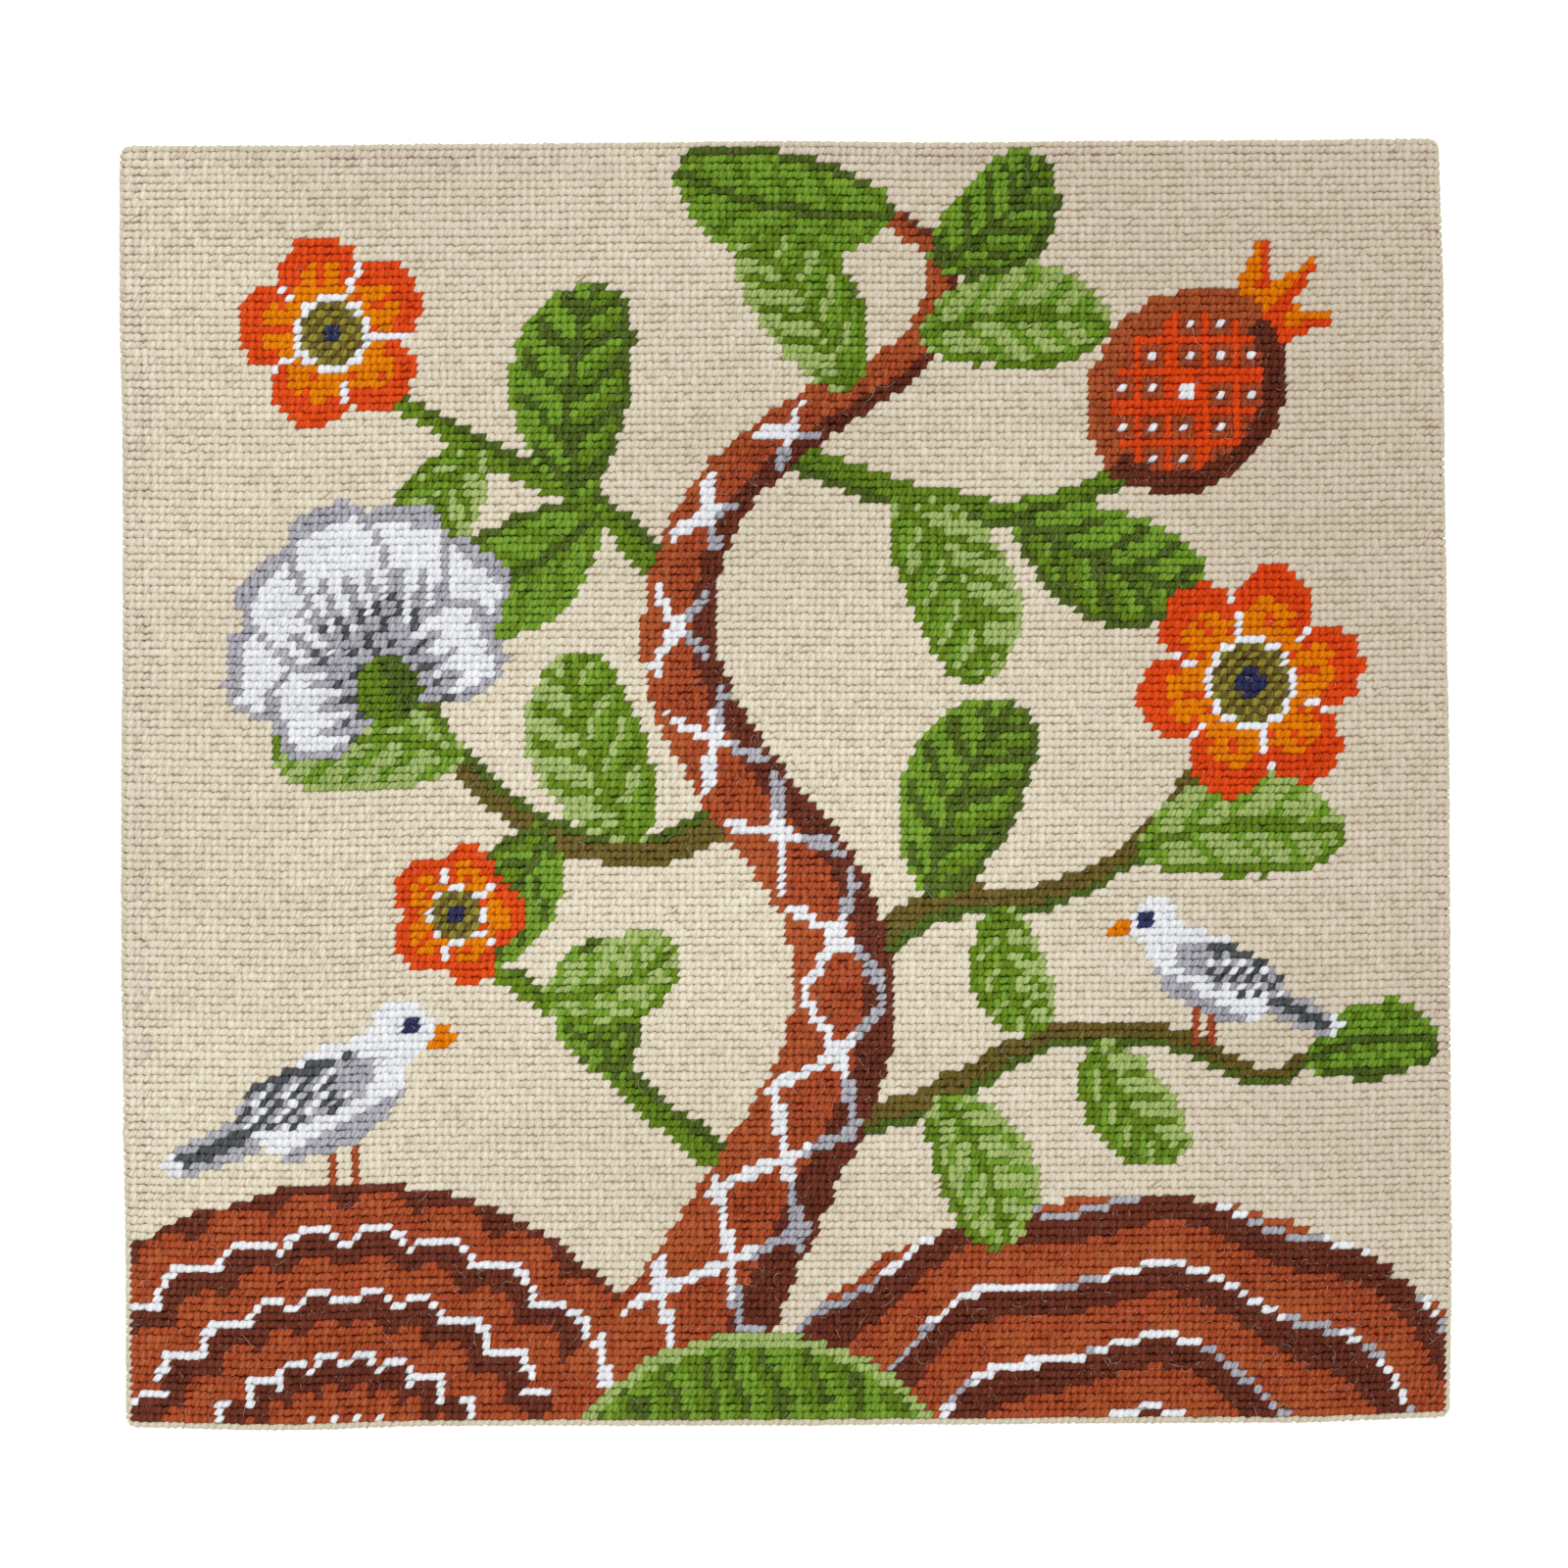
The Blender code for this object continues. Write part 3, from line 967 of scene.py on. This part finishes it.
def makeCanvas():
    hem = canvasSizes["hemRows"]
    columns = np.arange(-hem, columnCount + hem + 1)
    rows = np.arange(-hem, rowCount + hem + 1)
    row, column = gridPlaces(rows, columns).T
    places, out = clothFrame(*onCloth(column, row))
    stitched = (column >= 0) & (row >= 0) & (column <= columnCount) & (row <= rowCount)
    points = places + out * np.where(stitched, canvasSizes["rise"], 0.0)[:, None]
    cells = np.stack([(column + hem) / (len(columns) - 1), (row + hem) / (len(rows) - 1)], axis=-1)
    return makePiece(
        "cotton_canvas", points, stripQuads(1, len(rows), len(columns)), [makeCanvasMaterial()],
        {"OFBake": cells, "threadLie": np.stack([column, row], axis=-1)},
        {"paint": canvasShadeAndInk(column, row, stitched)},
    )


canvas = makeCanvas()
print("canvas woven")


# The underside of the work: the yarn's short runs between stitches, seen inside the hem

backSizes = {
    "inset": 6,  # rows from the fold, under the hem's inner edge
    "level": 0.75,  # below the canvas
    "knobRise": (0.315, 0.495),  # least and most
    "paintedShade": 0.55,  # how far painted shade lowers the tone between the knobs
    "jitter": 0.048,  # in stitches
}


def makeBack():
    # a plain sheet of knobs, one for each stitch, in the yarns of the face
    inset = backSizes["inset"]
    columns = np.arange(inset, columnCount - inset + 1)
    rows = np.arange(inset, rowCount - inset + 1)
    row, column = gridPlaces(rows, columns).T
    cellRow, cellColumn = gridPlaces(rows[:-1], columns[:-1]).T
    rng = np.random.default_rng(stitchSizes["seed"] + 2)
    jitter = rng.normal(0.0, backSizes["jitter"], (len(cellRow), 2))
    allColumns = np.concatenate([column, cellColumn + 0.5 + jitter[:, 0]])
    allRows = np.concatenate([row, cellRow + 0.5 + jitter[:, 1]])
    rise = np.concatenate([np.zeros(len(row)), rng.uniform(*backSizes["knobRise"], len(cellRow))])
    s, t = onCloth(allColumns, allRows)
    places, out = clothFrame(s, t)
    points = places - out * (backSizes["level"] + rise)[:, None]
    quads = stripQuads(1, len(rows), len(columns))
    middle = len(column) + np.arange(len(quads))
    # four triangles from each knob's middle, turned to face down
    faces = np.stack([
        np.stack([quads[:, (k + 1) % 4], quads[:, k], middle], axis=-1) for k in range(4)
    ], axis=1).reshape(-1, 3)
    tone, lotAndRimDarkening = stitchTones(allColumns, allRows)
    # painted shade at the grid's corners, between the knobs
    tone[:len(row)] -= backSizes["paintedShade"]
    across, up = len(columns) - 1, len(rows) - 1
    cells = np.stack([(allColumns - inset) / across, (allRows - inset) / up], axis=-1)
    lie = np.stack([s, t], axis=-1)
    return makeWoolPiece(
        "wool_underside", points, faces, chart[cellRow, cellColumn], cells, lie, tone, lotAndRimDarkening
    )


back = makeBack()
print("underside worked")


# Stray hairs of the wool, which stand up a little from the stitches

hairSizes = {
    "radius": 0.045,  # nearly three times a real fibre's, so that it shows
    "sides": 3,
    "lift": (0.18, 0.48),  # above the stitches' crowns, least and most
    "rootDepth": 0.25,
    "edgeGap": 2.0,  # none stand nearer to the folded edge
    "paleShare": 0.16,  # as many on a pale stitch as on a dark one
    "ownShare": 0.55,  # those in their stitch's own yarn; the rest are cream
    "waver": 0.7,
    "taper": 0.6,
    "lieSize": (6.0, 0.3),  # on the yarn's pattern
    "cellMargin": 0.1,
    "seed": 19,
}
hairRows = (
    # piece, count, shortest, longest, steps, how much a hair curls
    ("stray_wool_hairs", 900, 2.5, 8.0, 6, 1.3),
    ("wool_fuzz", 5600, 0.8, 2.2, 3, 0.8),
)
darkYarns = ("brown", "charcoal", "navy", "darkGreen", "rust", "olive")


def hairRoots(rng, count):
    # roots on stitches, most of them where dark yarns show them
    dark = np.isin(chart, [yarnNumber[name] for name in darkYarns])
    weight = np.where(dark, 1.0, hairSizes["paleShare"]).ravel()
    picked = rng.choice(chart.size, count, p=weight / weight.sum())
    row, column = np.divmod(picked, columnCount)
    s, t = onCloth(column + rng.random(count), row + rng.random(count))
    gap = hairSizes["edgeGap"]
    keep = (np.abs(s) < turnStartX - gap) & (np.abs(t) < turnStartY - gap)
    return s[keep], t[keep], chart[row, column][keep]


def makeHairs(name, wanted, shortest, longest, steps, curliness):
    rng = np.random.default_rng(hairSizes["seed"] + wanted)
    s, t, yarn = hairRoots(rng, wanted)
    count, sides = len(s), hairSizes["sides"]
    heading = rng.uniform(0, 2 * pi, count)
    curl = rng.normal(0.0, curliness, count)
    length = rng.uniform(shortest, longest, count)
    share = np.linspace(0.0, 1.0, steps)
    places = np.zeros((count, steps, 3))
    for step in range(steps):
        if step:
            s = s + np.cos(heading) * length / (steps - 1)
            t = t + np.sin(heading) * length / (steps - 1)
            heading = heading + (curl + rng.normal(0.0, hairSizes["waver"], count)) / steps * 2
        place, out = clothFrame(s, t)
        arch = np.sin(pi * share[step]) * rng.uniform(*hairSizes["lift"], count)
        places[:, step] = place + out * (clothSizes["crestHeight"] - hairSizes["rootDepth"] + arch)[:, None]
    around = np.arange(sides) * 2 * pi / sides
    run = np.gradient(places, axis=1)
    run /= np.linalg.norm(run, axis=-1, keepdims=True)
    across = np.cross(run, (0.0, 0.0, 1.0))
    across /= np.maximum(np.linalg.norm(across, axis=-1, keepdims=True), 1e-6)
    raised = np.cross(across, run)
    radius = hairSizes["radius"] * (1.0 - hairSizes["taper"] * share)[None, :, None, None]
    aroundX, aroundY = np.cos(around)[None, None, :, None], np.sin(around)[None, None, :, None]
    ring = aroundX * across[:, :, None] + aroundY * raised[:, :, None]
    points = (places[:, :, None] + radius * ring).reshape(-1, 3)
    faces = stripQuads(count, steps, sides, closed=True)
    own = np.where(rng.random(count) < hairSizes["ownShare"], yarn, yarnNumber["cream"])
    lie = np.tile(gridPlaces(share, np.linspace(0, 1, sides)), (count, 1, 1))
    return makeWoolPiece(
        name, points, faces, own, atlasCells(lie, hairSizes["cellMargin"]),
        lie.reshape(-1, 2) * hairSizes["lieSize"], np.ones(len(points)), np.zeros(len(points)),
    )


hairs = [makeHairs(*row) for row in hairRows]
print("hairs laid")

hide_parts(panelNode)


# Floor, light and camera

viewSettings = {
    "frameWidth": 513.1,  # of the photograph at the panel, in mm
    "centreX": -0.55,
    "centreY": 0.14,
    "lens": 100.0,
    "sensor": 36.0,
    "floorColour": "#FFFFFF",
    "floorGlow": 0.3,
    "floorSize": 30000.0,
    "skyColour": "#FFFFFF",
    "skyStrength": 0.62,
}

lightRows = (
    # name, way to the light, its breadth in degrees, strength
    ("keyLight", (0.42, 0.54, 0.90), 24.0, 1.02),
    ("fillLight", (-0.62, -0.17, 0.84), 45.0, 0.60),
)


def makeFloor():
    size = viewSettings["floorSize"] / 2
    mesh = bpy.data.meshes.new("studio_floor")
    corners = [(x * size * mm, y * size * mm, 0.0) for x, y in ((-1, -1), (1, -1), (1, 1), (-1, 1))]
    mesh.from_pydata(corners, [], [(0, 1, 2, 3)])
    # photographer's matt paper on a light table: plain white that takes no grey shadow
    mesh.materials.append(startMaterial("mattWhitePaper", {
        "Base Color": hexToLinear(viewSettings["floorColour"]),
        "Roughness": 0.95,
        "Specular IOR Level": 0.1,
        "Emission Color": hexToLinear(viewSettings["floorColour"]),
        "Emission Strength": viewSettings["floorGlow"],
    })[0])
    placeObject("studio_floor", mesh)


def makeLights():
    # broad distant lights, so that the floor is as pale far off as it is near
    for name, way, breadth, strength in lightRows:
        light = bpy.data.lights.new(name, "SUN")
        light.angle = radians(breadth)
        light.energy = strength
        lamp = placeObject(name, light)
        lamp.location = way
        lamp.rotation_euler = (-Vector(way)).to_track_quat("-Z", "Y").to_euler()
    world = bpy.data.worlds.new("softStudio")
    world.use_nodes = True
    sky = world.node_tree.nodes["Background"]
    sky.inputs["Color"].default_value = hexToLinear(viewSettings["skyColour"])
    sky.inputs["Strength"].default_value = viewSettings["skyStrength"]
    bpy.context.scene.world = world


def makeCamera():
    camera = bpy.data.cameras.new("overheadCamera")
    camera.lens = viewSettings["lens"]
    camera.sensor_width = viewSettings["sensor"]
    camera.clip_end = 20.0  # metres
    eye = placeObject("overheadCamera", camera)
    height = viewSettings["frameWidth"] * viewSettings["lens"] / viewSettings["sensor"] + boxHigh[2]
    eye.location = (viewSettings["centreX"] * mm, viewSettings["centreY"] * mm, height * mm)
    bpy.context.scene.camera = eye


makeFloor()
makeLights()
makeCamera()
bpy.context.scene.view_settings.view_transform = "Standard"
print("studio set")
